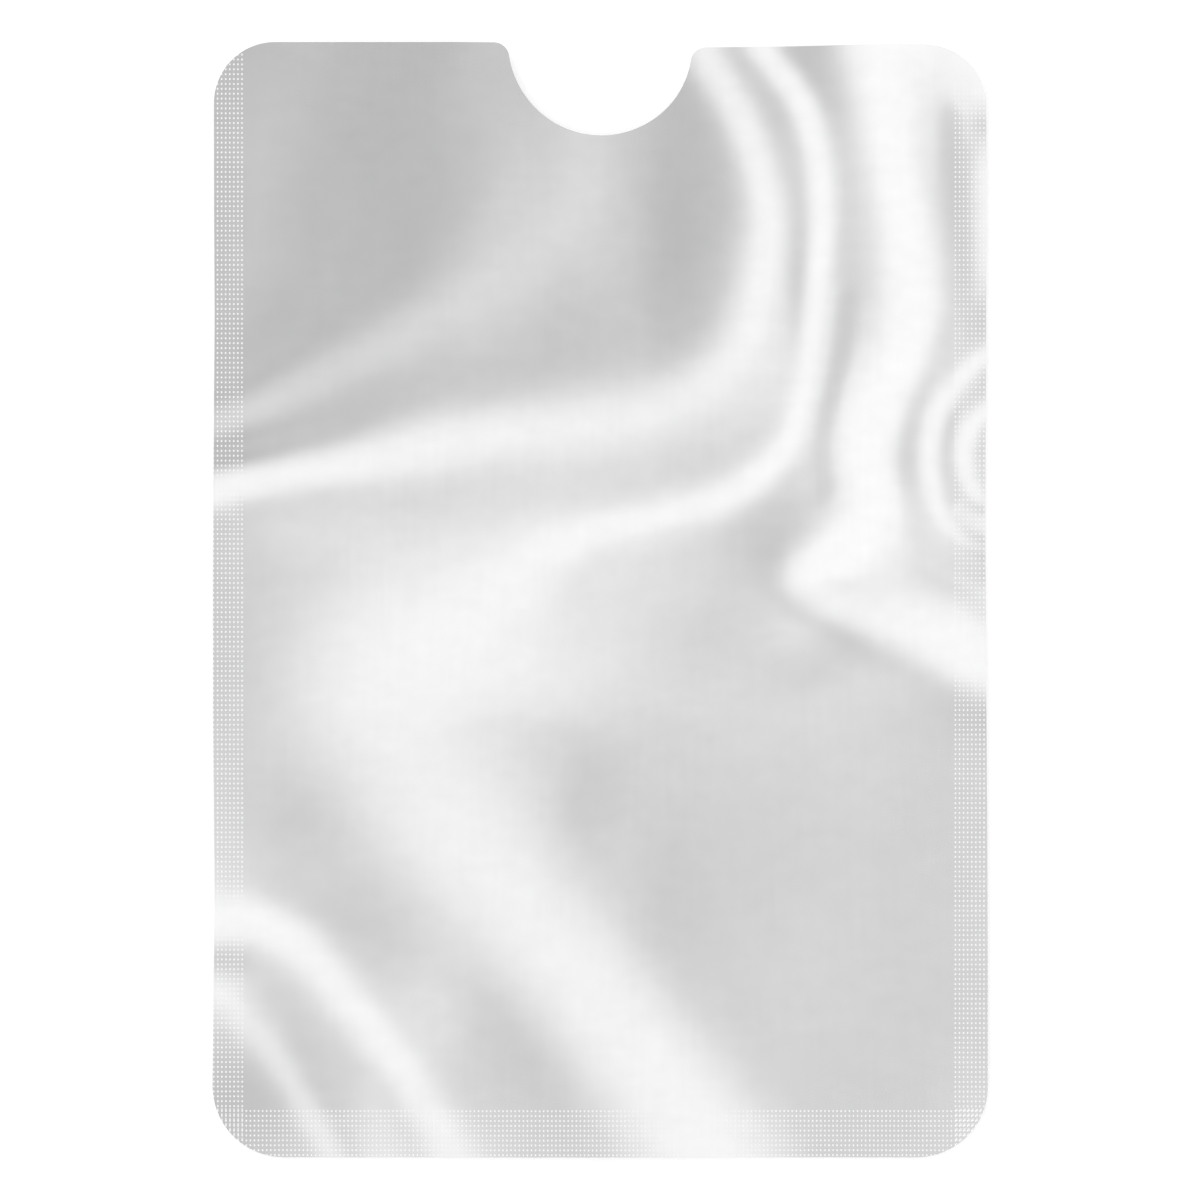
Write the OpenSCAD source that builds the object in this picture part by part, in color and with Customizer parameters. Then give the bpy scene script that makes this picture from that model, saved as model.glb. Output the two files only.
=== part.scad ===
// RFID card sleeve: a flat pouch of metallised laminate, sealed on three sides and open at the mouth.
// It lies on its back wall: +X runs across, +Y towards the mouth, +Z out of the front wall.
// The back wall is flat. The front wall rises from the seals in a shallow pillow, so the pocket stays open.
// Each wall is three plies: a face film outside, a shield foil, and a seal liner inside.
// In the margins the two liners are melted into one band, which holds the walls together.

/* [Sleeve] */
// Width across the two sealed sides
sleeve_w = 63; // [60:0.5:90]
// Length from the sealed end to the mouth
sleeve_l = 91; // [80:0.5:130]
// Radius of the two corners at the mouth
mouth_corner_r = 5; // [1:0.1:8]
// Radius of the two corners at the sealed end
end_corner_r = 5.8; // [1:0.1:8]

/* [Thumb notch] */
// Width of the notch at the mouth edge
notch_w = 15; // [15:0.5:24]
// Depth of the notch below the mouth edge
notch_depth = 7.4; // [4:0.1:7.4]
// Radius that rounds each shoulder of the notch
notch_shoulder_r = 1.2; // [0.3:0.1:3]

/* [Heat seals] */
// Width of the seal down each side
side_seal_w = 2.5; // [1.5:0.1:5]
// Width of the seal across the end
end_seal_w = 4.1; // [2:0.1:10]

/* [Laminate] */
// Thickness of the outer face film
film_t = 0.05; // [0.03:0.01:0.2]
// Thickness of the shield foil
foil_t = 0.03; // [0.02:0.01:0.1]
// Thickness of the inner seal liner
liner_t = 0.07; // [0.04:0.01:0.2]

/* [Pocket] */
// Gap between the walls in the middle of the pocket
pocket_gap = 1.1; // [0.6:0.1:3]
// Extra gap at the mouth, where nothing holds the walls together
mouth_lift = 0.3; // [0:0.1:1.5]
// Distance over which the front wall rises from each side seal
side_rise = 9; // [4:0.5:20]
// Distance over which the front wall rises from the end seal
end_rise = 13; // [4:0.5:30]

/* [Soft folds] */
// Height of the soft folds that handling leaves in the front wall
fold_h = 0.25; // [0:0.05:0.4]
// Half width of a soft fold
fold_reach = 6; // [4:0.5:10]

/* [Hidden] */
$fn = 96;

// Heights of the interfaces between the plies, from the face that the sleeve lies on
foil_z = film_t;
liner_z = foil_z + foil_t;
pocket_z = liner_z + liner_t;
seal_t = 2 * liner_t;

// The pocket's edges, where the seals end
pocket_half_w = sleeve_w / 2 - side_seal_w;
pocket_end_y = end_seal_w - sleeve_l / 2;
mouth_y = sleeve_l / 2;

// The notch is an arc through both shoulders and its lowest point
notch_r = (pow(notch_w / 2, 2) + pow(notch_depth, 2)) / (2 * notch_depth);
notch_centre_y = mouth_y - notch_depth + notch_r;
// A shoulder's arc runs this little way into the notch's arc, so that the two cross cleanly
arc_overlap = 0.001;
shoulder_y = mouth_y - notch_shoulder_r;
shoulder_reach = notch_r + notch_shoulder_r - arc_overlap;
shoulder_x = sqrt(pow(shoulder_reach, 2) - pow(notch_centre_y - shoulder_y, 2));

// Cutting shapes run this far past what they cut
past = 1;
// Highest that anything reaches, for the prism that trims the front wall
trim_top = pocket_z + pocket_gap + mouth_lift + fold_h + liner_t + foil_t + film_t + past;

// The front wall is a grid of flat triangles, finer near the seals
wall_columns = 22;
wall_rows = 26;
// Share by which the rows bunch towards the end seal
row_bunching = 0.45;
// Power with which the mouth's extra gap comes in along the pocket
lift_power = 3;

// Soft folds run in straight lines between two places, given as shares of the pocket's half width and length
folds = [
    [[-0.15, 0.20], [0.45, -0.75]],
    [[-0.95, 0.28], [0.35, 0.38]],
    [[0.62, 0.95], [0.72, 0.15]],
    [[-0.95, -0.45], [-0.45, -0.95]]
];

function ease(t) =
    let (s = min(max(t, 0), 1))
    s * s * (3 - 2 * s);

function pocket_place(share) =
    [
        share.x * pocket_half_w,
        (pocket_end_y + mouth_y) / 2 + share.y * (mouth_y - pocket_end_y) / 2
    ];

function distance_to_line(p, a, b) =
    let (along = b - a)
    let (t = min(max((p - a) * along / (along * along), 0), 1))
    norm(p - a - t * along);

function fold_share(p, fold) =
    1 - ease(distance_to_line(p, pocket_place(fold[0]), pocket_place(fold[1])) / fold_reach);

function sum(values, i = 0) = i < len(values) ? values[i] + sum(values, i + 1) : 0;

// How far the front wall has risen at a place: 0 at a seal, 1 where it is free
function rise(x, y) =
    ease((pocket_half_w - abs(x)) / side_rise) * ease((y - pocket_end_y) / end_rise);

// Gap between the two walls at a place in the pocket
function gap(x, y) =
    let (free = rise(x, y))
    let (to_mouth = max((y - pocket_end_y) / (mouth_y - pocket_end_y), 0))
    let (folded = min(sum([for (fold = folds) fold_share([x, y], fold)]), 1))
    free * (pocket_gap + mouth_lift * pow(to_mouth, lift_power) + fold_h * folded);

// Grid lines across the pocket, closer together near both sides
function pocket_xs() =
    [
        for (i = [0 : wall_columns])
        let (t = 2 * i / wall_columns - 1)
        pocket_half_w * sin(90 * t)
    ];

// Grid lines along the pocket, closer together near the sealed end
function pocket_ys() =
    [
        for (j = [0 : wall_rows])
        let (t = j / wall_rows)
        pocket_end_y + (mouth_y - pocket_end_y) * t * (1 - row_bunching * (1 - t))
    ];

function whole_xs() = concat([-sleeve_w / 2 - past], pocket_xs(), [sleeve_w / 2 + past]);
function whole_ys() = concat([-sleeve_l / 2 - past], pocket_ys(), [mouth_y + past]);
function liner_ys() = concat(pocket_ys(), [mouth_y + past]);

// A sheet of even thickness that follows the gap, over a grid of columns and rows
module wall_sheet(xs, ys, under, thickness) {
    columns = len(xs);
    rows = len(ys);
    layer = columns * rows;
    floor_points = [for (y = ys) for (x = xs) [x, y, under + gap(x, min(y, mouth_y))]];
    points = concat(floor_points, [for (p = floor_points) p + [0, 0, thickness]]);
    cells = [for (j = [0 : rows - 2]) for (i = [0 : columns - 2]) j * columns + i];
    below = [for (c = cells) each [[c, c + 1, c + columns], [c + 1, c + columns + 1, c + columns]]];
    above = [for (f = below) [f[2] + layer, f[1] + layer, f[0] + layer]];
    near = [for (i = [0 : columns - 2]) [i, i + 1]];
    far = [for (i = [0 : columns - 2]) [layer - 1 - i, layer - 2 - i]];
    left = [for (j = [0 : rows - 2]) [(j + 1) * columns, j * columns]];
    right = [for (j = [0 : rows - 2]) [(j + 1) * columns - 1, (j + 2) * columns - 1]];
    rim = [
        for (e = concat(near, right, far, left))
        each [[e[0], e[0] + layer, e[1] + layer], [e[0], e[1] + layer, e[1]]]
    ];
    polyhedron(points = points, faces = concat(below, above, rim), convexity = 6);
}

module corner_waste(x_side, y_side, r) {
    translate([x_side * (sleeve_w / 2 - r), y_side * (sleeve_l / 2 - r)])
        scale([x_side, y_side])
            difference() {
                square(r + past);
                circle(r);
            }
}

module notch_shoulder() {
    difference() {
        polygon([
            [0, notch_centre_y + past],
            [shoulder_x, notch_centre_y + past],
            [shoulder_x, shoulder_y],
            [0, notch_centre_y]
        ]);
        translate([shoulder_x, shoulder_y]) circle(notch_shoulder_r);
    }
}

module thumb_notch() {
    translate([0, notch_centre_y]) circle(notch_r);
    notch_shoulder();
    mirror([1, 0]) notch_shoulder();
}

module sleeve_outline() {
    difference() {
        square([sleeve_w, sleeve_l], center = true);
        for (side = [-1, 1]) {
            corner_waste(side, 1, mouth_corner_r);
            corner_waste(side, -1, end_corner_r);
        }
        thumb_notch();
    }
}

module pocket_area() {
    translate([-pocket_half_w, pocket_end_y])
        square([2 * pocket_half_w, mouth_y - pocket_end_y + past]);
}

module flat_ply(z, thickness) {
    translate([0, 0, z]) linear_extrude(thickness) sleeve_outline();
}

// One side's sealed margin, from the end seal up to the mouth
module side_band(side) {
    translate([0, 0, liner_z])
        linear_extrude(seal_t)
            intersection() {
                sleeve_outline();
                translate([side > 0 ? pocket_half_w : -pocket_half_w - side_seal_w, pocket_end_y])
                    square([side_seal_w, sleeve_l]);
            }
}

module front_ply(xs, ys, under, thickness) {
    intersection() {
        wall_sheet(xs, ys, under, thickness);
        linear_extrude(trim_top) sleeve_outline();
    }
}

module back_face_film() {
    color("silver") flat_ply(0, film_t);
}

module back_shield_foil() {
    color("gainsboro") flat_ply(foil_z, foil_t);
}

module back_seal_liner() {
    color("whitesmoke")
        translate([0, 0, liner_z])
            linear_extrude(liner_t)
                intersection() {
                    sleeve_outline();
                    pocket_area();
                }
}

module left_seal_band() {
    color("lightgray") side_band(-1);
}

module right_seal_band() {
    color("lightgray") side_band(1);
}

module end_seal_band() {
    color("lightgray")
        translate([0, 0, liner_z])
            linear_extrude(seal_t)
                intersection() {
                    sleeve_outline();
                    translate([-sleeve_w / 2, -sleeve_l / 2]) square([sleeve_w, end_seal_w]);
                }
}

module front_seal_liner() {
    color("whitesmoke") front_ply(pocket_xs(), liner_ys(), pocket_z, liner_t);
}

module front_shield_foil() {
    color("gainsboro") front_ply(whole_xs(), whole_ys(), pocket_z + liner_t, foil_t);
}

module front_face_film() {
    color("silver") front_ply(whole_xs(), whole_ys(), pocket_z + liner_t + foil_t, film_t);
}

back_face_film();
back_shield_foil();
back_seal_liner();
left_seal_band();
right_seal_band();
end_seal_band();
front_seal_liner();
front_shield_foil();
front_face_film();
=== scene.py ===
"""RFID card sleeve: the dressed model, lying on its back wall on a pale floor and seen from straight above.

Lengths are in millimetres up to the point where a mesh is made. +X runs across, +Y towards the mouth.
"""
import math

import bpy
import numpy as np
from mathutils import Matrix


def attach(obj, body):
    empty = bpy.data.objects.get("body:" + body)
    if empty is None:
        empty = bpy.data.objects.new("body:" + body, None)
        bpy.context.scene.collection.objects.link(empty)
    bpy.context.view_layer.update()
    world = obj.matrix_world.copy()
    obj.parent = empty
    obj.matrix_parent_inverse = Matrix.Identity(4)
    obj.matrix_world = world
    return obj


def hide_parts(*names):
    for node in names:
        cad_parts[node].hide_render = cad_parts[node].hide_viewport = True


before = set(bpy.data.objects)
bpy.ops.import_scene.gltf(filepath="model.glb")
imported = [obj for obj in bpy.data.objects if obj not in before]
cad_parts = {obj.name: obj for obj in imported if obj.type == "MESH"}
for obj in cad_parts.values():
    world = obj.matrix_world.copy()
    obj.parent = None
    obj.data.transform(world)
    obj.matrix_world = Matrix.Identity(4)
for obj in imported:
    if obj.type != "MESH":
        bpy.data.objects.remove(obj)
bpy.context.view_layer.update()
MM = 0.001

# ---------------------------------------------------------------- the sleeve's sizes, as in the CAD model
SLEEVE_W, SLEEVE_L = 63.0, 91.0
MOUTH_CORNER_R, END_CORNER_R = 5.0, 5.8
NOTCH_W, NOTCH_DEPTH, NOTCH_SHOULDER_R = 15.0, 7.4, 1.2
SIDE_SEAL_W, END_SEAL_W = 2.5, 4.1
FILM_T, FOIL_T, LINER_T = 0.05, 0.03, 0.07
POCKET_HALF_W = SLEEVE_W / 2 - SIDE_SEAL_W
POCKET_END_Y = END_SEAL_W - SLEEVE_L / 2

# Heights of the interfaces between the plies of a sealed margin, from its lower face
FOIL_Z = FILM_T
LINER_Z = FOIL_Z + FOIL_T
POCKET_Z = LINER_Z + LINER_T
FRONT_FOIL_Z = POCKET_Z + LINER_T
FRONT_FILM_Z = FRONT_FOIL_Z + FOIL_T
FRONT_TOP_Z = FRONT_FILM_Z + FILM_T

# ---------------------------------------------------------------- the lattice that every ply is built on
PITCH_X, PITCH_Y = 1 / 3, 0.4            # also the pitch of the dots that the sealing jaws press in
SEAL_COLUMNS, SEAL_ROWS = 9, 12          # cells across a side seal and along the end seal, before the cut
POCKET_COLUMNS = round(2 * POCKET_HALF_W / PITCH_X)
COLUMNS = POCKET_COLUMNS + 2 * SEAL_COLUMNS
ROWS = 231                               # enough to reach past the mouth
X0 = -POCKET_HALF_W - SEAL_COLUMNS * PITCH_X
Y0 = POCKET_END_Y - SEAL_ROWS * PITCH_Y
LATTICE_X = X0 + PITCH_X * np.arange(COLUMNS + 1)
LATTICE_Y = Y0 + PITCH_Y * np.arange(ROWS + 1)

# ---------------------------------------------------------------- soft folds in the walls
# The folds' places count from the upper left of a square field that the camera shows
FIELD = 1200                             # its side
FIELD_PER_MM = 12.22
FIELD_CENTRE = (600.0, 601.0)            # where the sleeve's centre lies in it

# Each fold is a line of places over the wall, each with the fold's half width in mm and the slope across it.
# It falls to the left or right of the way that it travels, or else each place has a direction in degrees.
LEFT, RIGHT = 1, -1
FOLDS = [
    # From the mouth, right of the notch, round to the left seal
    (LEFT, [(692, 10, 1.8, .085), (708, 60, 1.8, .085), (731, 100, 1.8, .085), (753, 150, 1.65, .085),
            (767, 210, 1.65, .085), (764, 260, 1.65, .085), (755, 310, 1.8, .08), (739, 352, 2.25, .075),
            (700, 390, 3.0, .075), (650, 412, 3.0, .075), (600, 422, 3.2, .075), (550, 428, 3.0, .075),
            (500, 434, 2.9, .08), (450, 441, 2.8, .08), (400, 452, 2.6, .085), (350, 463, 2.1, .085),
            (300, 472, 1.8, .085), (250, 482, 1.8, .085), (190, 495, 1.8, .09)]),
    # Beside it from the mouth to the left, where it widens, turns and crosses to the end seal
    (LEFT, [(735, 10, 1.3, .095), (762, 50, 1.3, .095), (799, 100, 1.3, .095), (816, 150, 1.2, .095),
            (822, 210, 1.1, .095), (820, 260, 1.0, .095), (812, 340, .88, .09), (801, 400, .92, .09),
            (783, 450, 1.15, .095), (730, 494, 1.55, .09), (650, 518, 1.6, .09), (595, 531, 2.0, .085),
            (550, 548, 3.0, .085), (515, 575, 4.8, .085), (468, 612, 8.2, .085), (420, 655, 10.5, .09),
            (398, 710, 11.4, .09), (409, 770, 10.9, .10), (448, 835, 9.4, .11), (506, 903, 8.1, .12),
            (564, 968, 7.4, .12), (621, 1035, 7.0, .12), (674, 1105, 6.9, .12), (725, 1180, 7.0, .12)]),
    # From the mouth near its right corner down to a blunt foot, and out over the right seal
    (LEFT, [(873, 10, 3.7, .11), (878, 50, 3.4, .11), (887, 100, 2.7, .11), (892, 150, 2.1, .11),
            (900, 200, 2.2, .11), (908, 250, 2.5, .11), (912, 300, 2.6, .11), (905, 350, 2.4, .11),
            (880, 400, 2.1, .11), (865, 450, 2.1, .11), (873, 490, 1.9, .11), (870, 514, 1.9, .11),
            (854, 536, 1.9, .10), (828, 556, 2.1, .08), (807, 572, 2.3, .065), (804, 589, 2.3, .065),
            (830, 604, 2.0, .09), (880, 622, 2.6, .11), (940, 648, 2.9, .11), (1020, 684, 3.0, .11)]),
    # The foot's inside
    ([-10, 0, 20, 30],
     [(828, 580, 2.6, .10), (862, 578, 2.8, .11), (905, 592, 2.8, .10), (960, 618, 3.0, .09)]),
    # The lane left of the third fold
    ([180, 180, 180, 180, 180],
     [(848, 300, .9, .006), (842, 350, .9, .012), (831, 400, .9, .013), (824, 445, .9, .006),
      (826, 490, .9, .006)]),
    # The mouth's right corner
    ([20, 20, 20], [(915, 48, 2.2, .08), (950, 56, 2.2, .11), (1020, 64, 2.2, .11)]),
    # The upper part of the right seal, and the lane beside it
    ([0, 0, 0, 0, 0],
     [(982, 130, .8, .01), (985, 165, 1.0, .06), (987, 205, 1.1, .065), (986, 250, 1.1, .06),
      (982, 290, .9, .03)]),
    ([180, 180, 180, 180],
     [(950, 120, 1.0, .004), (952, 170, 1.0, .006), (955, 220, 1.0, .004), (958, 280, .9, .001)]),
    # Two rings about a place on the right edge, the outer one first
    (LEFT, [(1020, 340, .9, .075), (982, 358, .9, .075), (958, 382, .9, .075), (936, 415, .72, .075),
            (929, 455, .72, .075), (934, 495, .75, .075), (947, 527, .9, .075), (972, 545, .9, .075),
            (1020, 556, .9, .075)]),
    (LEFT, [(1020, 395, .8, .075), (985, 412, .8, .075), (969, 432, .8, .075), (964, 457, .8, .075),
            (969, 482, .8, .075), (985, 502, .8, .075), (1020, 512, .8, .075)]),
    # Two folds that cut off the lower left corner, the outer one first
    (RIGHT, [(180, 914, 1.6, .07), (240, 919, 1.9, .075), (270, 929, 2.2, .085), (305, 950, 2.2, .09),
             (350, 1002, 2.0, .09), (390, 1052, 2.1, .09), (413, 1085, 2.2, .085),
             (450, 1150, 2.4, .085), (465, 1180, 2.4, .085)]),
    (RIGHT, [(190, 985, 1.4, .055), (225, 998, 1.4, .055), (252, 1025, 1.6, .055), (273, 1052, 1.6, .06),
             (293, 1084, 1.6, .065), (313, 1120, 1.7, .07), (328, 1148, 1.7, .07), (343, 1180, 1.7, .07)]),
    # A faint streak from the left seal up to the notch
    ([-60, -60, -60, -60, -50, -20, 0, 0],
     [(190, 430, 1.8, .04), (250, 412, 1.8, .045), (300, 388, 2.2, .045), (360, 355, 2.8, .05),
      (420, 325, 3.2, .051), (500, 275, 3.5, .041), (570, 225, 3.7, .037), (590, 150, 3.7, .033)]),
    # The lane between the rings, and the one around them
    ([180, 180, 180], [(952, 415, .5, .007), (946, 457, .5, .007), (952, 500, .5, .007)]),
    ([180, 180, 178, 170, 155, 150, 150],
     [(940, 330, 1.0, .014), (922, 380, 1.0, .014), (908, 430, 1.0, .014), (907, 490, 1.1, .02),
      (922, 530, 1.2, .03), (952, 560, 1.2, .035), (1010, 586, 1.2, .035)]),
]
# Broad areas that lean a little: place, reach in mm, lean, and how much they matter beside a fold's 1
LEANS = [
    # Upper left
    ((258, 165), (5, 7), (0.03, -0.012), 0.6),
    ((240, 300), (3.5, 5), (0.024, -0.012), 0.5),
    ((350, 205), (6.5, 15), (-0.014, 0.016), 0.6),
    ((415, 185), (6.5, 10), (-0.022, 0.012), 0.7),
    ((482, 58), (4, 3), (0.02, -0.014), 0.5),
    # Between the folds at the upper right
    ((797, 275), (1.2, 6), (-0.014, 0.0), 0.6),
    ((686, 245), (4.5, 14), (-0.03, 0.01), 0.6),
    # Left
    ((290, 525), (9, 4), (0.0, -0.035), 0.7),
    ((235, 585), (5, 9), (0.0, -0.04), 0.7),
    ((245, 690), (6, 16), (0.0, -0.04), 0.8),
    ((295, 750), (5, 8), (0.02, -0.02), 0.4),
    # Middle
    ((560, 345), (9, 5), (-0.018, 0.01), 0.6),
    ((605, 668), (8, 4.5), (0.018, -0.026), 0.4),
    ((705, 640), (8, 5), (-0.018, 0.014), 0.4),
    ((535, 765), (5, 6), (0.022, -0.01), 0.4),
    ((628, 835), (4.5, 7), (0.018, -0.01), 0.4),
    # Lower left
    ((330, 860), (7, 5), (-0.01, -0.03), 0.6),
    ((375, 925), (6, 9), (0.028, -0.030), 0.3),
    ((432, 1040), (5, 7), (0.028, -0.032), 0.3),
    ((425, 980), (5, 8), (0.0, -0.03), 0.6),
    ((226, 958), (2.5, 2.2), (-0.02, 0.03), 0.8),
    ((230, 1095), (5, 8), (-0.019, 0.035), 1.0),
    ((330, 1080), (3.5, 7), (0.0, 0.02), 0.5),
    # Right and lower right
    ((815, 672), (6, 3.5), (-0.024, 0.012), 0.35),
    ((915, 722), (8, 4.5), (-0.022, 0.006), 0.5),
    ((965, 820), (6, 9), (-0.016, 0.008), 0.6),
    ((800, 880), (12, 14), (-0.008, 0.004), 0.6),
    ((930, 1050), (8, 12), (-0.025, 0.01), 0.6),
]
LEAN_SCALE = 0.7                         # every slope in the two lists is scaled by this
FLAT_WEIGHT = 0.25                       # how much a place outside folds and leans wants to be flat
WEIGHT_POWER = 3                         # the weights blend into each other with this power
PAINT_REACH, PAINT_MARGIN = 2.4, 0.5     # a fold is painted this many half widths out, and this many mm more
CURVE_STEPS = 12                         # straight pieces of a fold's curve between two places
FIT_ROUNDS = 1000
EDGE_HOLD, EDGE_HOLD_W = 0.0003, 3.0     # the edges are held level, very lightly, over this width
SEAL_LEAN = (-0.0134, -0.0029)           # slope of the seals on the whole, which is taken off everywhere
LOWEST = 0.06                            # the relief's lowest place, which keeps the walls apart
SETTLE_W = 6.0                           # the back wall settles onto the floor over this far from the seals


def to_mm(place):
    return (place[0] - FIELD_CENTRE[0]) / FIELD_PER_MM, (FIELD_CENTRE[1] - place[1]) / FIELD_PER_MM


def smooth_line(points):
    """A Catmull-Rom curve through the points, with everything that they carry."""
    knots = np.array([to_mm(p) + tuple(p[2:]) for p in points], float)
    knots = np.vstack([2 * knots[0] - knots[1], knots, 2 * knots[-1] - knots[-2]])
    out = []
    for a, b, c, d in zip(knots[:-3], knots[1:-2], knots[2:-1], knots[3:]):
        for t in np.linspace(0, 1, CURVE_STEPS, endpoint=False):
            out.append(0.5 * (2 * b + (c - a) * t + (2 * a - 5 * b + 4 * c - d) * t**2
                              + (3 * b - a - 3 * c + d) * t**3))
    out.append(knots[-2])
    return np.array(out)


def fold_line(falls, points):
    """The fold's curve as rows of x, y, half width, slope and the direction that it falls in."""
    if isinstance(falls, list):
        ways = [(math.cos(math.radians(a)), math.sin(math.radians(a))) for a in falls]
        return smooth_line([p + way for p, way in zip(points, ways)])
    line = smooth_line(points)
    d = np.gradient(line[:, :2], axis=0)
    d /= np.linalg.norm(d, axis=1)[:, None]
    return np.column_stack([line[:, :4], -falls * d[:, 1], falls * d[:, 0]])


def paint_fold(gx, gy, line):
    """The fold's share and its lean in x and y at each place of the lattice."""
    best = np.full(gx.shape, np.inf)
    share, lean_x, lean_y = np.zeros(gx.shape), np.zeros(gx.shape), np.zeros(gx.shape)
    for a, b in zip(line[:-1], line[1:]):
        reach = PAINT_REACH * max(a[2], b[2]) + PAINT_MARGIN
        i0, i1 = np.searchsorted(gx[0], [min(a[0], b[0]) - reach, max(a[0], b[0]) + reach])
        j0, j1 = np.searchsorted(gy[:, 0], [min(a[1], b[1]) - reach, max(a[1], b[1]) + reach])
        if i0 >= i1 or j0 >= j1:
            continue
        sub = (slice(j0, j1), slice(i0, i1))
        d = b[:2] - a[:2]
        t = np.clip(((gx[sub] - a[0]) * d[0] + (gy[sub] - a[1]) * d[1]) / (d @ d), 0, 1)
        x, y, half, slope, fall_x, fall_y = (a[k] + (b[k] - a[k]) * t for k in range(6))
        away = np.hypot(gx[sub] - x, gy[sub] - y) / half
        closer = away < best[sub]
        s = np.exp(-away**2)
        best[sub] = np.where(closer, away, best[sub])
        share[sub] = np.where(closer, s, share[sub])
        lean_x[sub] = np.where(closer, s * slope * fall_x, lean_x[sub])
        lean_y[sub] = np.where(closer, s * slope * fall_y, lean_y[sub])
    return share, lean_x, lean_y


def wanted_slopes(gx, gy):
    """The slopes in x and y that the folds and leans ask for, and how much each place matters."""
    sx, sy = np.zeros(gx.shape), np.zeros(gx.shape)
    matter = np.full(gx.shape, FLAT_WEIGHT**WEIGHT_POWER)
    for falls, points in FOLDS:
        share, lean_x, lean_y = paint_fold(gx, gy, fold_line(falls, points))
        sx -= LEAN_SCALE * lean_x
        sy -= LEAN_SCALE * lean_y
        matter += share**WEIGHT_POWER
    for place, reach, lean, matters in LEANS:
        cx, cy = to_mm(place)
        share = np.exp(-((gx - cx) / reach[0])**2 - ((gy - cy) / reach[1])**2)
        sx -= LEAN_SCALE * lean[0] * share
        sy -= LEAN_SCALE * lean[1] * share
        matter += (matters * share)**WEIGHT_POWER
    return sx, sy, matter**(1 / WEIGHT_POWER)


def fit_height(sx, sy, weight, hold):
    """The height whose slopes come closest to the wanted ones, by conjugate gradients."""
    weight_x, weight_y = 0.5 * (weight[:, 1:] + weight[:, :-1]), 0.5 * (weight[1:] + weight[:-1])
    wanted_x, wanted_y = 0.5 * (sx[:, 1:] + sx[:, :-1]), 0.5 * (sy[1:] + sy[:-1])

    def spread(pull_x, pull_y, out):
        """Adds the pull between each two neighbours to both of them, with opposite signs."""
        out[:, 1:] += pull_x
        out[:, :-1] -= pull_x
        out[1:] += pull_y
        out[:-1] -= pull_y
        return out

    def response(h):
        return spread(weight_x * np.diff(h, axis=1) / PITCH_X**2,
                      weight_y * np.diff(h, axis=0) / PITCH_Y**2, hold * h)

    diagonal = hold.copy()
    diagonal[:, 1:] += weight_x / PITCH_X**2
    diagonal[:, :-1] += weight_x / PITCH_X**2
    diagonal[1:] += weight_y / PITCH_Y**2
    diagonal[:-1] += weight_y / PITCH_Y**2
    height = np.zeros_like(sx)
    residual = spread(weight_x * wanted_x / PITCH_X, weight_y * wanted_y / PITCH_Y, np.zeros_like(sx))
    scaled = residual / diagonal
    step = scaled.copy()
    size = (residual * scaled).sum()
    for _ in range(FIT_ROUNDS):
        moved = response(step)
        share = size / (step * moved).sum()
        height += share * step
        residual -= share * moved
        scaled = residual / diagonal
        size, last_size = (residual * scaled).sum(), size
        step = scaled + size / last_size * step
    return height


def wall_height():
    """Height of the front wall's relief at each lattice place, with the seals level on the whole."""
    gx, gy = np.meshgrid(LATTICE_X, LATTICE_Y)
    edge = np.minimum(SLEEVE_W / 2 - np.abs(gx), gy + SLEEVE_L / 2) < EDGE_HOLD_W
    h = fit_height(*wanted_slopes(gx, gy), np.where(edge, EDGE_HOLD, 0.0))
    h -= SEAL_LEAN[0] * gx + SEAL_LEAN[1] * gy
    inside = (np.abs(gx) <= SLEEVE_W / 2) & (np.abs(gy) <= SLEEVE_L / 2)
    return h - h[inside].min() + LOWEST


WALL_H = wall_height()
ROUNDING = 1e-9                          # keeps a place on a lattice line out of the cell before it


def cubic_shares(t):
    """Weights of the four lattice places around a place that is t of the way between the middle two."""
    return [0.5 * (-t + 2 * t**2 - t**3), 0.5 * (2 - 5 * t**2 + 3 * t**3),
            0.5 * (t + 4 * t**2 - 3 * t**3), 0.5 * (-t**2 + t**3)]


def relief(x, y):
    """The wall's relief at any place, smooth between the lattice places."""
    u, v = (x - X0) / PITCH_X, (y - Y0) / PITCH_Y
    i, j = np.floor(u + ROUNDING).astype(int), np.floor(v + ROUNDING).astype(int)
    shares_x, shares_y = cubic_shares(u - i), cubic_shares(v - j)
    out = np.zeros(np.shape(x))
    for m in range(4):
        row = np.clip(j + m - 1, 0, ROWS)
        for k in range(4):
            column = np.clip(i + k - 1, 0, COLUMNS)
            out += shares_y[m] * shares_x[k] * WALL_H[row, column]
    return out


def ease(t):
    s = np.clip(t, 0, 1)
    return s * s * (3 - 2 * s)


def back_relief(x, y):
    """The back wall follows the front wall in the seals and lies flat in the pocket."""
    settled = ease((POCKET_HALF_W - np.abs(x)) / SETTLE_W) * ease((y - POCKET_END_Y) / SETTLE_W)
    return (1 - settled) * relief(x, y)


# ---------------------------------------------------------------- the dots that the sealing jaws press in
DOT_LINES = (0.0, 0.19, 0.38, 0.72)      # fine lattice lines within one pitch; a dot stands on the second one
DOT_H = 0.014
LONGER_DOT, SLANTED_DOT = 0.6, 0.8       # heights beside a dot where two seals cross, as shares of its own
FINE = len(DOT_LINES)
FINE_WIDE = FINE * COLUMNS + 1           # fine places in one row


def fine_axis(start, pitch, cells):
    whole = np.repeat(np.arange(cells), FINE) + np.tile(DOT_LINES, cells)
    return start + pitch * np.append(whole, cells)


FINE_X, FINE_Y = fine_axis(X0, PITCH_X, COLUMNS), fine_axis(Y0, PITCH_Y, ROWS)


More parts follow.
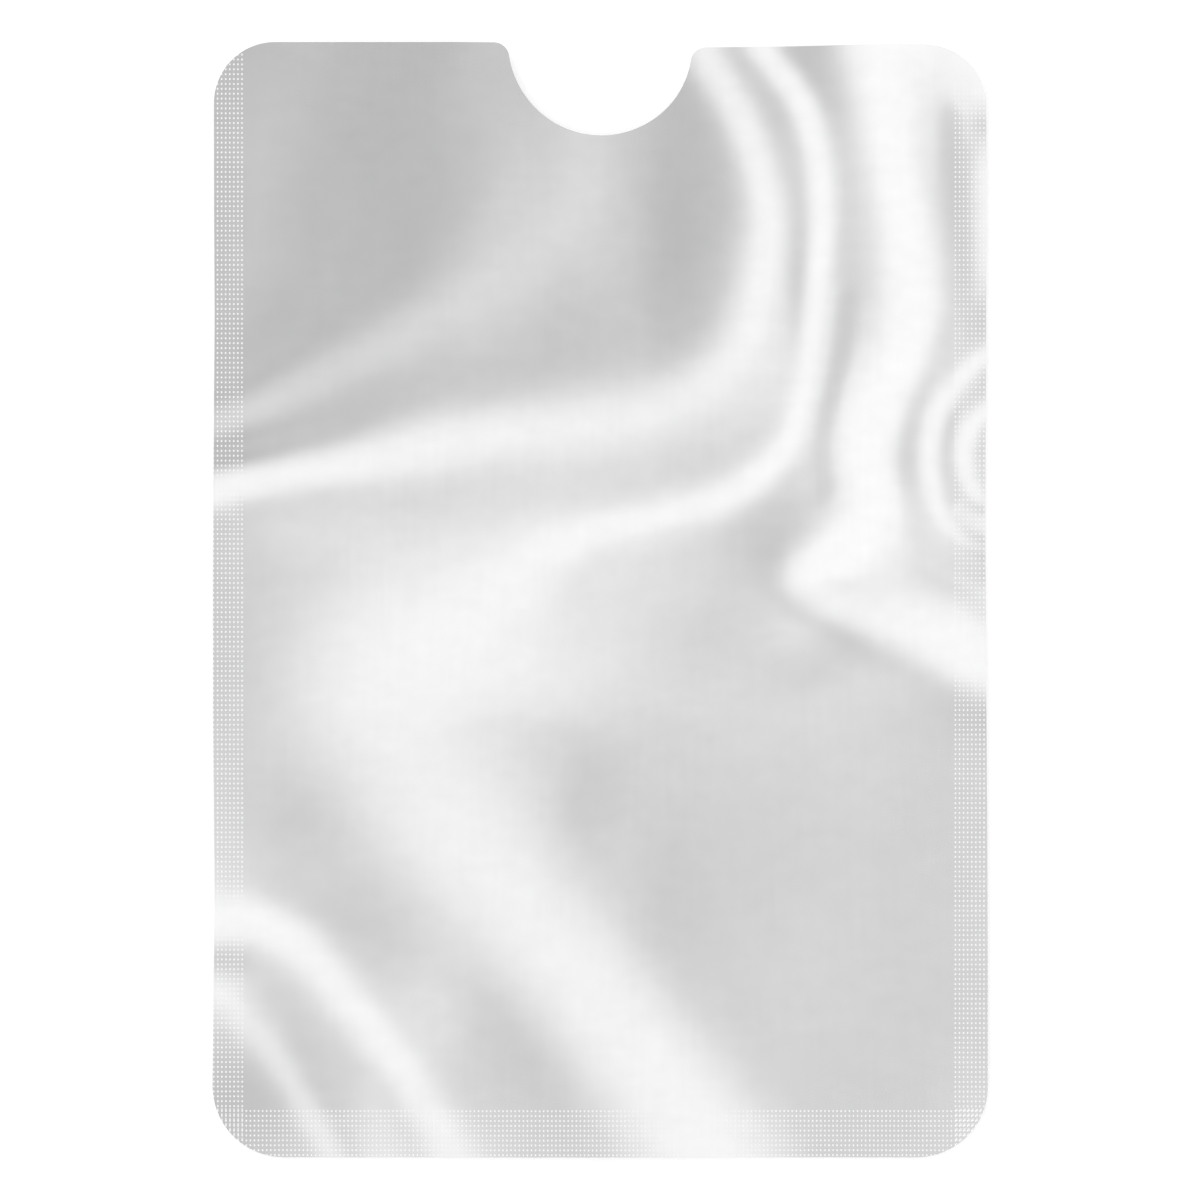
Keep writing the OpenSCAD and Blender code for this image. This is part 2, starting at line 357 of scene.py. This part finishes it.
def dot_height(i, j):
    """How high the pressed pattern stands at a fine place. Both seals' patterns show where they cross."""
    middle_x, middle_y = i % FINE == 1, j % FINE == 1
    left, right = i < FINE * SEAL_COLUMNS, i > FINE * (COLUMNS - SEAL_COLUMNS)
    end = j < FINE * SEAL_ROWS
    one = (left | right | end) & middle_x & middle_y
    longer = left & end & middle_x & (j % FINE == 2)
    slanted = right & end & (i % FINE == 2) & (j % FINE == 2)
    return DOT_H * (one + LONGER_DOT * longer + SLANTED_DOT * slanted)


# ---------------------------------------------------------------- plies
def seal_cell(i, j):
    return i < SEAL_COLUMNS or i >= COLUMNS - SEAL_COLUMNS or j < SEAL_ROWS


def dotted_faces(fi, fj):
    """The fine faces of a lattice cell in a seal. Those around the dot are split along lines from its top."""
    top = (fi + 1, fj + 1)
    faces = []
    for y in range(fj, fj + FINE):
        for x in range(fi, fi + FINE):
            face = ((x, y), (x + 1, y), (x + 1, y + 1), (x, y + 1))
            if top in face:
                at = face.index(top)
                turned = face[at:] + face[:at]
                faces += [turned[:3], (turned[0], turned[2], turned[3])]
            else:
                faces.append(face)
    return faces


def plain_face(i, j, is_dotted):
    """The one face of a plain cell, which takes in the fine places on its sides towards dotted cells."""
    near, far = i * FINE, (i + 1) * FINE
    low, high = j * FINE, (j + 1) * FINE
    loop = []
    for x, y, way_x, way_y, neighbour in ((near, low, 1, 0, (i, j - 1)), (far, low, 0, 1, (i + 1, j)),
                                          (far, high, -1, 0, (i, j + 1)), (near, high, 0, -1, (i - 1, j))):
        stride = 1 if is_dotted(*neighbour) else FINE
        loop += [(x + way_x * k, y + way_y * k) for k in range(0, FINE, stride)]
    return tuple(loop)


def lattice_side(area, dotted):
    """The faces of one side of a ply over an area of the lattice, each as a loop of fine places."""
    i0, i1, j0, j1 = area

    def is_dotted(i, j):
        return dotted and i0 <= i < i1 and j0 <= j < j1 and seal_cell(i, j)

    faces = []
    for j in range(j0, j1):
        for i in range(i0, i1):
            if is_dotted(i, j):
                faces += dotted_faces(i * FINE, j * FINE)
            else:
                faces.append(plain_face(i, j, is_dotted))
    return faces


def ply_mesh(name, area, under, over, dots_on=None):
    """A closed sheet between two heights over an area of the lattice, before it is cut to the outline."""
    vertices, faces, sides = [], [], []
    for side, height, outwards in (("under", under, -1), ("over", over, 1)):
        dotted = dots_on == side
        cells = lattice_side(area, dotted)
        places = np.array([place for cell in cells for place in cell])
        used, numbers = np.unique(places[:, 1] * FINE_WIDE + places[:, 0], return_inverse=True)
        fi, fj = used % FINE_WIDE, used // FINE_WIDE
        x, y = FINE_X[fi], FINE_Y[fj]
        z = height(x, y)
        if dotted:
            z = z + outwards * dot_height(fi, fj)
        start = len(vertices)
        vertices += list(zip(x * MM, y * MM, z * MM))
        numbers = numbers + start
        ends = np.cumsum([len(cell) for cell in cells])
        for cell, end in zip(cells, ends):
            loop = numbers[end - len(cell):end].tolist()
            faces.append(loop[::outwards])
        sides.append(dict(zip(used.tolist(), range(start, len(vertices)))))

    def along_edge(axis, fixed, start, end):
        """Both sides' vertices along one edge of the area, each with its place along the edge."""
        codes = [(p, fixed * FINE_WIDE + p if axis == 0 else p * FINE_WIDE + fixed)
                 for p in range(start, end + 1)]
        return [[(p, side[code]) for p, code in codes if code in side] for side in sides]

    i0, i1, j0, j1 = area
    for axis, fixed, first, last, way in ((0, j0, i0, i1, 1), (1, i1, j0, j1, 1),
                                          (0, j1, i0, i1, -1), (1, i0, j0, j1, -1)):
        low, high = along_edge(axis, fixed * FINE, first * FINE, last * FINE)
        for a in range(first * FINE, last * FINE, FINE):
            wall = [v for p, v in low if a <= p <= a + FINE]
            wall += [v for p, v in reversed(high) if a <= p <= a + FINE]
            faces.append(wall[::way])
    mesh = bpy.data.meshes.new(name)
    mesh.from_pydata(vertices, [], faces)
    return mesh


# ---------------------------------------------------------------- the cut outline
# How far the cut edges stand out from the plain rectangle, for the sides by y and for the mouth by x
LEFT_EDGE = [(-45.5, 0.2), (-39, 0.2), (-29, 0.08), (-20, -0.05), (-10, -0.14), (0, -0.15), (10, -0.1),
             (20, -0.02), (34, 0.06), (45.5, 0.08)]
RIGHT_EDGE = [(-45.5, 0.22), (-30, 0.22), (-20, 0.17), (-10, 0.1), (0, 0.05), (10, -0.02), (20, -0.07),
              (45.5, -0.08)]
MOUTH_EDGE = [(-31.5, 0.2), (-10, 0.2), (-8, 0.15), (8, -0.25), (15, -0.18), (22, 0.0), (31.5, 0.0)]
MOUTH_FROM, MOUTH_OVER = 30, 15          # the mouth's share comes in from this y, over this far
CORNER_STEPS, SHOULDER_STEPS, NOTCH_STEPS = 32, 12, 72
SIDE_YS = np.linspace(-35, 35, 29)       # places along a straight side, so that it can bend
MOUTH_XS = np.linspace(12, 22, 6)        # places along the mouth from a shoulder outwards
CUTTER_Z = (-4.0, 8.0)                   # the cutter reaches past everything


def arc(cx, cy, r, start, end, steps):
    angles = np.radians(np.linspace(start, end, steps + 1))
    return [(cx + r * math.cos(a), cy + r * math.sin(a)) for a in angles]


def between(knots, at):
    return float(np.interp(at, [k[0] for k in knots], [k[1] for k in knots]))


def outline():
    """The cut outline, anticlockwise from the left end corner."""
    half, top, bottom = SLEEVE_W / 2, SLEEVE_L / 2, -SLEEVE_L / 2
    end_x, end_y = half - END_CORNER_R, bottom + END_CORNER_R
    mouth_x, mouth_y = half - MOUTH_CORNER_R, top - MOUTH_CORNER_R
    notch_r = ((NOTCH_W / 2)**2 + NOTCH_DEPTH**2) / (2 * NOTCH_DEPTH)
    notch_y = top - NOTCH_DEPTH + notch_r
    shoulder_y = top - NOTCH_SHOULDER_R
    shoulder_x = math.sqrt((notch_r + NOTCH_SHOULDER_R)**2 - (notch_y - shoulder_y)**2)
    meet = math.degrees(math.atan2(shoulder_y - notch_y, shoulder_x))
    points = arc(-end_x, end_y, END_CORNER_R, 180, 270, CORNER_STEPS)
    points += arc(end_x, end_y, END_CORNER_R, 270, 360, CORNER_STEPS)
    points += [(half, y) for y in SIDE_YS]
    points += arc(mouth_x, mouth_y, MOUTH_CORNER_R, 0, 90, CORNER_STEPS)
    points += [(x, top) for x in MOUTH_XS[::-1]]
    points += arc(shoulder_x, shoulder_y, NOTCH_SHOULDER_R, 90, 180 + meet, SHOULDER_STEPS)
    points += arc(0, notch_y, notch_r, meet, -180 - meet, NOTCH_STEPS)[1:-1]
    points += arc(-shoulder_x, shoulder_y, NOTCH_SHOULDER_R, -meet, 90, SHOULDER_STEPS)
    points += [(-x, top) for x in MOUTH_XS]
    points += arc(-mouth_x, mouth_y, MOUTH_CORNER_R, 90, 180, CORNER_STEPS)
    points += [(-half, y) for y in SIDE_YS[::-1]]
    out = []
    for x, y in points:
        aside = between(LEFT_EDGE if x < 0 else RIGHT_EDGE, y) * abs(x) / half
        up = between(MOUTH_EDGE, x) * ease((y - MOUTH_FROM) / MOUTH_OVER)
        out.append((x + math.copysign(aside, x), y + float(up)))
    return out


def add_object(name, data):
    """A new object in the scene."""
    thing = bpy.data.objects.new(name, data)
    bpy.context.scene.collection.objects.link(thing)
    return thing


def make_cutter():
    """A prism over the outline."""
    points = outline()
    n = len(points)
    vertices = [(x * MM, y * MM, z * MM) for z in CUTTER_Z for x, y in points]
    faces = [list(range(n))[::-1], list(range(n, 2 * n))]
    faces += [[k, (k + 1) % n, n + (k + 1) % n, n + k] for k in range(n)]
    mesh = bpy.data.meshes.new("cutter")
    mesh.from_pydata(vertices, [], faces)
    return add_object("cutter", mesh)


SHARP_EDGE = math.radians(3)             # keeps the dots' facets flat, which lean 10 degrees or more


def make_ply(node, area, under, over, material, cutter, dots_on=None):
    """Builds a ply, cuts it to the outline and lets it stand for its CAD node."""
    whole = add_object(node + "_whole", ply_mesh(node + "_whole", area, under, over, dots_on))
    cut = whole.modifiers.new("outline", "BOOLEAN")
    cut.operation, cut.solver, cut.object = "INTERSECT", "MANIFOLD", cutter
    mesh = bpy.data.meshes.new_from_object(whole.evaluated_get(bpy.context.evaluated_depsgraph_get()))
    bpy.data.objects.remove(whole)
    mesh.name = node + "_skin"
    mesh.materials.clear()
    mesh.materials.append(material)
    mesh.shade_smooth()
    mesh.set_sharp_from_angle(angle=SHARP_EDGE)
    piece = add_object(node + "_skin", mesh)
    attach(piece, "root")
    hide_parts(node)


# ---------------------------------------------------------------- materials
NOISE_SPAN = (0.3, 0.7)                  # nearly all of a noise's values lie between these


class Nodes:
    """Short forms for making a material's or the world's nodes."""

    def __init__(self, tree):
        self.tree = tree
        tree.nodes.clear()

    def add(self, kind, inputs=None, **settings):
        node = self.tree.nodes.new(kind)
        for key, value in settings.items():
            setattr(node, key, value)
        for key, value in (inputs or {}).items():
            self.set(node.inputs[key], value)
        return node

    def set(self, socket, value):
        if isinstance(value, bpy.types.NodeSocket):
            self.tree.links.new(value, socket)
        else:
            socket.default_value = value

    def math(self, operation, *values):
        node = self.add("ShaderNodeMath", operation=operation)
        for socket, value in zip(node.inputs, values):
            self.set(socket, value)
        return node.outputs[0]

    def weighted(self, first, *more):
        """The sum of some values, each given with its weight."""
        part = self.math("MULTIPLY", *first)
        return self.math("ADD", part, self.weighted(*more)) if more else part

    def rising(self, value, least, by):
        """Goes from least to least + by as the value goes from 0 to 1."""
        return self.math("ADD", self.math("MULTIPLY", value, by), least)

    def noise(self, vector, scale, stretch=(1, 1, 1), detail=2.0, roughness=0.5):
        placed = self.add("ShaderNodeMapping", {"Vector": vector, "Scale": stretch})
        return self.add("ShaderNodeTexNoise", {"Vector": placed.outputs[0], "Scale": scale, "Detail": detail,
                                               "Roughness": roughness}).outputs["Fac"]

    def blend(self, noise, dark, light):
        """A colour that goes from dark to light with a noise."""
        return self.ramp(noise, zip(NOISE_SPAN, (dark, light)))

    def ramp(self, value, stops):
        stops = list(stops)
        node = self.add("ShaderNodeValToRGB", {"Fac": value})
        elements = node.color_ramp.elements
        while len(elements) < len(stops):
            elements.new(0.5)
        for element, (place, colour) in zip(elements, stops):
            element.position = place
            element.color = (*(colour if isinstance(colour, tuple) else (colour,) * 3), 1.0)
        return node.outputs["Color"]

    def skin(self, inputs, height, strength, distance):
        """Ends a material in a principled shader over a bump of this height."""
        bump = self.add("ShaderNodeBump", {"Strength": strength, "Distance": distance, "Height": height})
        shader = self.add("ShaderNodeBsdfPrincipled", {**inputs, "Normal": bump.outputs[0]})
        self.add("ShaderNodeOutputMaterial", {"Surface": shader.outputs[0]})


def new_material(name):
    material = bpy.data.materials.new(name)
    material.use_nodes = True
    return material, Nodes(material.node_tree)


def film_material():
    """Satin metallised film: a soft mirror with faint blotches, draw lines and a slightly uneven gloss."""
    material, n = new_material("satin_silver_film")
    place = n.add("ShaderNodeTexCoord").outputs["Object"]
    blotch = n.noise(place, scale=700.0, stretch=(0.6, 1.0, 1.0), detail=3.0, roughness=0.55)
    cloud = n.noise(place, scale=130.0, stretch=(1.0, 0.7, 1.0))
    lines = n.noise(place, scale=2600.0, stretch=(1.0, 0.05, 1.0))
    tone = n.weighted((blotch, 0.7), (lines, 0.3))
    colour = n.blend(tone, dark=(0.802, 0.803, 0.805), light=(0.838, 0.839, 0.84))
    height = n.weighted((cloud, 4.0), (blotch, 0.6), (lines, 0.03))
    n.skin({"Base Color": colour, "Metallic": 1.0, "Roughness": n.rising(cloud, least=0.14, by=0.03)},
           height, strength=1.0, distance=1.2e-6)
    return material


def foil_material():
    """The shield foil, seen only at cut edges: bare aluminium with rolling lines."""
    material, n = new_material("bare_shield_foil")
    place = n.add("ShaderNodeTexCoord").outputs["Object"]
    lines = n.noise(place, scale=2500.0, stretch=(0.04, 1.0, 1.0), detail=3.0)
    colour = n.blend(lines, dark=(0.70, 0.705, 0.71), light=(0.79, 0.79, 0.80))
    n.skin({"Base Color": colour, "Metallic": 1.0, "Roughness": n.rising(lines, least=0.26, by=0.12)},
           lines, strength=0.6, distance=2e-6)
    return material


def liner_material(name, dark, light, least_rough):
    """Milky seal plastic, with the faint orange peel of an extruded coat."""
    material, n = new_material(name)
    place = n.add("ShaderNodeTexCoord").outputs["Object"]
    peel = n.noise(place, scale=1600.0, detail=3.0)
    cloud = n.noise(place, scale=200.0)
    colour = n.blend(cloud, dark, light)
    n.skin({"Base Color": colour, "Roughness": n.rising(peel, least=least_rough, by=0.16), "IOR": 1.5},
           peel, strength=0.5, distance=6e-6)
    return material


# ---------------------------------------------------------------- the pieces
def raised(surface, by):
    return lambda x, y: surface(x, y) + by


film = film_material()
foil = foil_material()
liner = liner_material("milky_seal_liner", (0.66, 0.665, 0.67), (0.75, 0.752, 0.755), 0.38)
fused = liner_material("fused_seal_plastic", (0.60, 0.605, 0.61), (0.70, 0.702, 0.705), 0.30)

# Areas of the lattice, as columns and rows from and to
WHOLE = (0, COLUMNS, 0, ROWS)
POCKET = (SEAL_COLUMNS, COLUMNS - SEAL_COLUMNS, SEAL_ROWS, ROWS)
LEFT_SEAL = (0, SEAL_COLUMNS, SEAL_ROWS, ROWS)
RIGHT_SEAL = (COLUMNS - SEAL_COLUMNS, COLUMNS, SEAL_ROWS, ROWS)
END_SEAL = (0, COLUMNS, 0, SEAL_ROWS)

# Each piece's node, area, surface that it follows, heights from and to, material, slot and dotted side
cutter = make_cutter()
for node, area, surface, low, high, material, slot, dots_on in (
        ("back_face_film", WHOLE, back_relief, 0.0, FOIL_Z, film, "silver_face_film", "under"),
        ("back_shield_foil", WHOLE, back_relief, FOIL_Z, LINER_Z, foil, "shield_foil", None),
        ("back_seal_liner", POCKET, back_relief, LINER_Z, POCKET_Z, liner, "seal_liner", None),
        ("left_seal_band", LEFT_SEAL, relief, LINER_Z, FRONT_FOIL_Z, fused, "fused_seal", None),
        ("right_seal_band", RIGHT_SEAL, relief, LINER_Z, FRONT_FOIL_Z, fused, "fused_seal", None),
        ("end_seal_band", END_SEAL, relief, LINER_Z, FRONT_FOIL_Z, fused, "fused_seal", None),
        ("front_seal_liner", POCKET, relief, POCKET_Z, FRONT_FOIL_Z, liner, "seal_liner", None),
        ("front_shield_foil", WHOLE, relief, FRONT_FOIL_Z, FRONT_FILM_Z, foil, "shield_foil", None),
        ("front_face_film", WHOLE, relief, FRONT_FILM_Z, FRONT_TOP_Z, film, "silver_face_film", "over")):
    make_ply(node, area, raised(surface, low), raised(surface, high), material, cutter, dots_on)
bpy.data.objects.remove(cutter)

# ---------------------------------------------------------------- floor, in metres
FLOOR_HALF = 1.5
FLOOR_Z = -0.02 * MM                     # a hair under the sleeve, so that no two faces lie in one plane
FLOOR_GREY = 0.86
GLOW_SEEN, GLOW_MIRRORED = 0.4, 0.2      # the floor's own light towards the camera, and as a mirror sees it


def make_floor():
    mesh = bpy.data.meshes.new("floor")
    corners = [(x * FLOOR_HALF, y * FLOOR_HALF, FLOOR_Z) for x, y in ((-1, -1), (1, -1), (1, 1), (-1, 1))]
    mesh.from_pydata(corners, [], [(0, 1, 2, 3)])
    floor = add_object("floor", mesh)
    material, n = new_material("pale_floor")
    path = n.add("ShaderNodeLightPath").outputs
    mirror = n.math("MAXIMUM", path["Is Glossy Ray"], path["Is Transmission Ray"])
    light = n.weighted((path["Is Camera Ray"], GLOW_SEEN), (mirror, GLOW_MIRRORED))
    matte = n.add("ShaderNodeBsdfDiffuse", {"Color": (FLOOR_GREY, FLOOR_GREY, FLOOR_GREY, 1.0)})
    glow = n.add("ShaderNodeEmission", {"Color": (1, 1, 1, 1), "Strength": light})
    both = n.add("ShaderNodeAddShader")
    n.set(both.inputs[0], matte.outputs[0])
    n.set(both.inputs[1], glow.outputs[0])
    n.add("ShaderNodeOutputMaterial", {"Surface": both.outputs[0]})
    mesh.materials.append(material)


make_floor()

# ---------------------------------------------------------------- studio
# The studio is a soft white tent with a grey opening overhead. Its light is given by the distance from the
# opening, in the tilt that a mirror seen from above needs to show a place: 0 is overhead, 1 is the horizon.
TENT_OPENING = (-0.0330, 0.0175)
TENT_REACH = 1.25                        # the farthest distance in the list below
TENT_FULL = 1.4                          # the light that stands for a full 1 in the colour ramp
TENT = [(0.0, 0.34), (0.014, 0.40), (0.028, 0.54), (0.042, 0.72), (0.056, 0.92), (0.07, 1.08), (0.084, 1.17),
        (0.112, 1.2), (0.175, 1.16), (0.38, 1.08), (0.5, 0.74), (0.6, 0.5), (0.67, 0.58), (0.73, 0.84),
        (0.78, 0.62), (0.84, 0.4), (0.92, 0.5), (1.0, 0.84), (1.25, 0.8)]


def make_world():
    world = bpy.data.worlds.new("soft_tent")
    world.use_nodes = True
    n = Nodes(world.node_tree)
    way = n.add("ShaderNodeSeparateXYZ", {"Vector": n.add("ShaderNodeTexCoord").outputs["Generated"]}).outputs
    lifted = n.math("ADD", n.math("MAXIMUM", way["Z"], 0.0), 1.0)
    off_x = n.math("SUBTRACT", n.math("DIVIDE", way["X"], lifted), TENT_OPENING[0])
    off_y = n.math("SUBTRACT", n.math("DIVIDE", way["Y"], lifted), TENT_OPENING[1])
    off = n.math("SQRT", n.math("ADD", n.math("MULTIPLY", off_x, off_x), n.math("MULTIPLY", off_y, off_y)))
    tent = n.ramp(n.math("DIVIDE", off, TENT_REACH), [(r / TENT_REACH, e / TENT_FULL) for r, e in TENT])
    path = n.add("ShaderNodeLightPath").outputs
    light = n.add("ShaderNodeBackground", {"Color": tent, "Strength": TENT_FULL})
    white = n.add("ShaderNodeBackground", {"Color": (1, 1, 1, 1), "Strength": 1.0})
    mix = n.add("ShaderNodeMixShader", {"Fac": path["Is Camera Ray"]})
    n.set(mix.inputs[1], light.outputs[0])
    n.set(mix.inputs[2], white.outputs[0])
    n.add("ShaderNodeOutputWorld", {"Surface": mix.outputs[0]})
    bpy.context.scene.world = world


make_world()

LAMP_PLACE = (-0.7, 0.7, 1.1)            # metres
LAMP_TURN = (-42, -32.5, 0)              # degrees, towards the sleeve
LAMP_SIZE, LAMP_POWER = 0.9, 2.0


def make_lamp():
    """One large soft lamp to the upper left, for a soft shadow."""
    data = bpy.data.lights.new("soft_box", "AREA")
    data.shape, data.size, data.energy = "DISK", LAMP_SIZE, LAMP_POWER
    lamp = add_object("soft_box", data)
    lamp.location = LAMP_PLACE
    lamp.rotation_euler = [math.radians(turn) for turn in LAMP_TURN]


make_lamp()

# ---------------------------------------------------------------- camera, straight above
SENSOR = 36.0
CAMERA_Z = 1100.0
CAMERA_CLIP = (0.01, 20.0)               # metres
FRAME_MM = FIELD / FIELD_PER_MM


def make_camera():
    """A camera that shows the field at the height of the sleeve's front."""
    data = bpy.data.cameras.new("camera")
    data.sensor_width = data.sensor_height = SENSOR
    data.sensor_fit = "HORIZONTAL"
    data.lens = SENSOR * (CAMERA_Z - FRONT_TOP_Z) / FRAME_MM
    data.clip_start, data.clip_end = CAMERA_CLIP
    camera = add_object("camera", data)
    camera.location = (0.0, (FIELD_CENTRE[1] - FIELD / 2) / FIELD_PER_MM * MM, CAMERA_Z * MM)
    bpy.context.scene.camera = camera


make_camera()

bpy.context.scene.view_settings.view_transform = "Standard"
